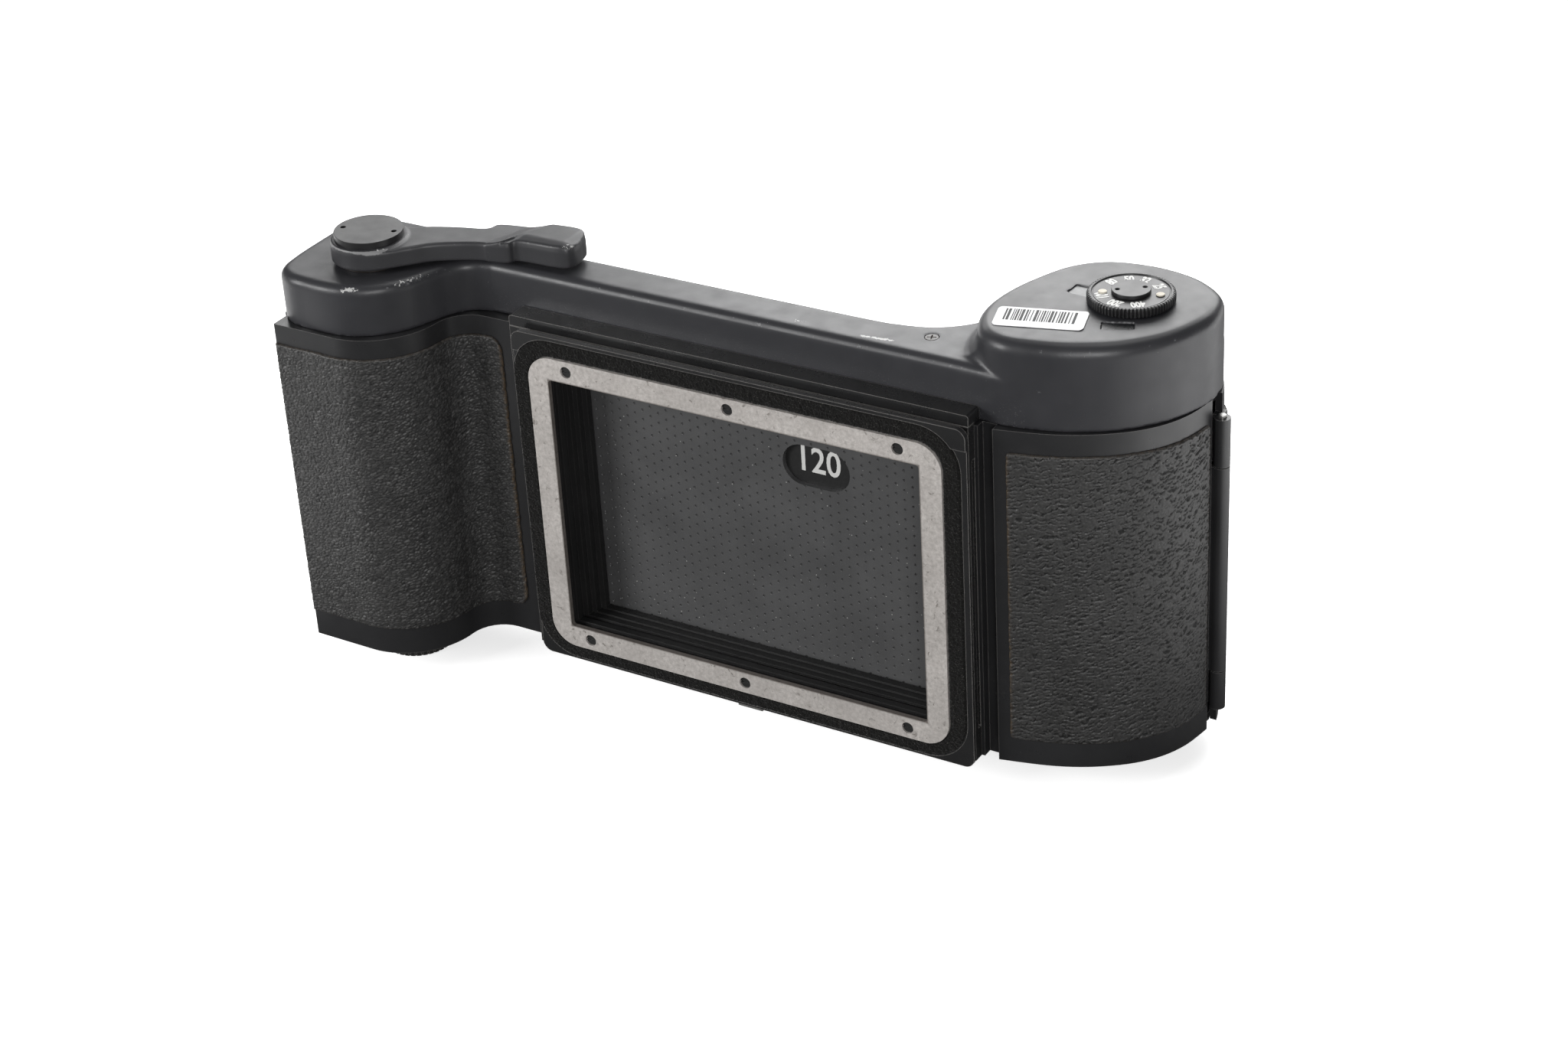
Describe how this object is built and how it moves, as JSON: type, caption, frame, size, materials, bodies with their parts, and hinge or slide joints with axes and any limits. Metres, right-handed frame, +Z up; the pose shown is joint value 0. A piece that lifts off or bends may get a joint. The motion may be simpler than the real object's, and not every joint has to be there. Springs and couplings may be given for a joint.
{
  "type": "press camera roll-film back",
  "caption": "Lever-wind roll-film back for a press camera: film gate with silver seal plate, hinged back door, wind lever, frame counter and film-speed dial.",
  "frame": {"origin": "centre of the silver retaining plate's opening, on the plate's front plane", "axes": "+X right seen from the lens side, +Y away from the lens towards the back door, +Z up towards the wind lever"},
  "size_m": [0.1894, 0.0659, 0.0986],
  "materials": {
    "body_paint": "gloss",
    "cover_paint": "satin",
    "flock": "matte",
    "plate_silver": "satin",
    "black_oxide": "satin",
    "leatherette": "satin",
    "steel": "satin",
    "brass": "satin",
    "dial_black": "satin",
    "rivet_nickel": "satin",
    "window": "gloss",
    "spool_plastic": "satin",
    "baffle_black": "matte",
    "pressure_black": "satin",
    "label_white": "matte"
  },
  "bodies": {
    "body": {"body_casting": "body_paint", "mount_frame": "body_paint", "film_gate": "baffle_black", "light_seal": "flock", "retaining_plate": "plate_silver", "plate_screws": "black_oxide", "leather_left": "leatherette", "leather_right": "leatherette", "top_cover": "cover_paint", "cover_screws": "black_oxide", "lever_bushing": "brass", "lever_spring": "steel", "idler_post": "steel", "brake_spring": "steel", "counter_idler_post": "steel", "counter_post": "steel", "counter_spring": "steel", "dial_ball": "steel", "counter_window": "window", "format_window": "window", "hinge_pin": "steel", "knob_bushings": "steel", "knob_spring_left": "steel", "knob_spring_right": "steel", "slide_trap": "flock", "frame_screws": "steel", "mount_catch": "steel", "stock_label": "label_white"},
    "lever": {"wind_lever": "cover_paint", "lever_cap": "dial_black", "lever_gear": "brass"},
    "idler": {"idler_gear": "brass"},
    "take_up": {"take_up_shaft": "steel", "clutch_spring": "steel", "take_up_spool": "spool_plastic"},
    "supply": {"supply_pivot": "steel", "supply_spool": "spool_plastic"},
    "guide": {"guide_roller": "steel"},
    "metering": {"metering_roller": "black_oxide"},
    "counter_wheel": {"counter_idler": "brass"},
    "counter": {"counter_disc": "dial_black"},
    "dial": {"speed_dial": "dial_black", "dial_cap": "dial_black", "dial_rivets": "rivet_nickel", "dial_post": "steel"},
    "door": {"back_door": "body_paint", "door_leather": "leatherette", "carrier_posts": "steel", "door_seals": "flock"},
    "pad": {"pressure_plate": "pressure_black", "index_plate": "dial_black", "plate_carrier": "steel", "plate_springs": "steel"},
    "latch": {"latch_slide": "dial_black"},
    "knob_l": {"knob_left": "dial_black"},
    "knob_r": {"knob_right": "dial_black"}
  },
  "joints": [
    {"name": "lever_stroke", "type": "hinge", "parent": "body", "child": "lever", "pos_m": [-0.082, -0.0005, 0.05], "axis": [0, 0, 1], "range_deg": [0, 170]},
    {"name": "idler_spin", "type": "hinge", "parent": "body", "child": "idler", "pos_m": [-0.07583, 0.00685, 0.04], "axis": [0, 0, 1], "range_deg": [-510, 0]},
    {"name": "take_up_spin", "type": "hinge", "parent": "body", "child": "take_up", "pos_m": [-0.082, -0.0005, 0], "axis": [0, 0, 1], "range_deg": [0, 850]},
    {"name": "supply_spin", "type": "hinge", "parent": "body", "child": "supply", "pos_m": [0.066, 0.032, 0], "axis": [0, 0, 1], "continuous": true},
    {"name": "guide_roller_spin", "type": "hinge", "parent": "body", "child": "guide", "pos_m": [-0.0485, 0.0087, 0], "axis": [0, 0, 1], "continuous": true},
    {"name": "metering_roller_spin", "type": "hinge", "parent": "body", "child": "metering", "pos_m": [0.0482, 0.0148, 0], "axis": [0, 0, 1], "continuous": true},
    {"name": "counter_wheel_spin", "type": "hinge", "parent": "body", "child": "counter_wheel", "pos_m": [0.05318, 0.02301, 0.042], "axis": [0, 0, 1], "continuous": true},
    {"name": "counter_disc_spin", "type": "hinge", "parent": "body", "child": "counter", "pos_m": [0.0652, 0.0274, 0.047], "axis": [0, 0, 1], "continuous": true},
    {"name": "dial_turn", "type": "hinge", "parent": "body", "child": "dial", "pos_m": [0.0699, 0.0321, 0.055], "axis": [0, 0, 1], "continuous": true},
    {"name": "door_swing", "type": "hinge", "parent": "body", "child": "door", "pos_m": [0.0875, 0.0345, 0], "axis": [0, 0, -1], "range_deg": [0, 115]},
    {"name": "pressure_plate_float", "type": "slide", "parent": "door", "child": "pad", "axis": [0, 1, 0], "range_m": [0, 0.0012], "stiffness_N_per_m": 1500},
    {"name": "latch_slide_travel", "type": "slide", "parent": "door", "child": "latch", "axis": [0, 0, 1], "range_m": [0, 0.004]},
    {"name": "knob_left_pull", "type": "slide", "parent": "body", "child": "knob_l", "axis": [0, 0, -1], "range_m": [0, 0.0022], "stiffness_N_per_m": 800, "deforming": ["knob_spring_left"]},
    {"name": "knob_right_pull", "type": "slide", "parent": "body", "child": "knob_r", "axis": [0, 0, -1], "range_m": [0, 0.0022], "stiffness_N_per_m": 800, "deforming": ["knob_spring_right"]}
  ],
  "couplings": [
    {"joint": "idler_spin", "follows": "lever_stroke", "ratio": -3},
    {"joint": "take_up_spin", "follows": "lever_stroke", "ratio": 5},
    {"joint": "counter_wheel_spin", "follows": "metering_roller_spin", "ratio": -0.2},
    {"joint": "counter_disc_spin", "follows": "metering_roller_spin", "ratio": 0.028571}
  ]
}
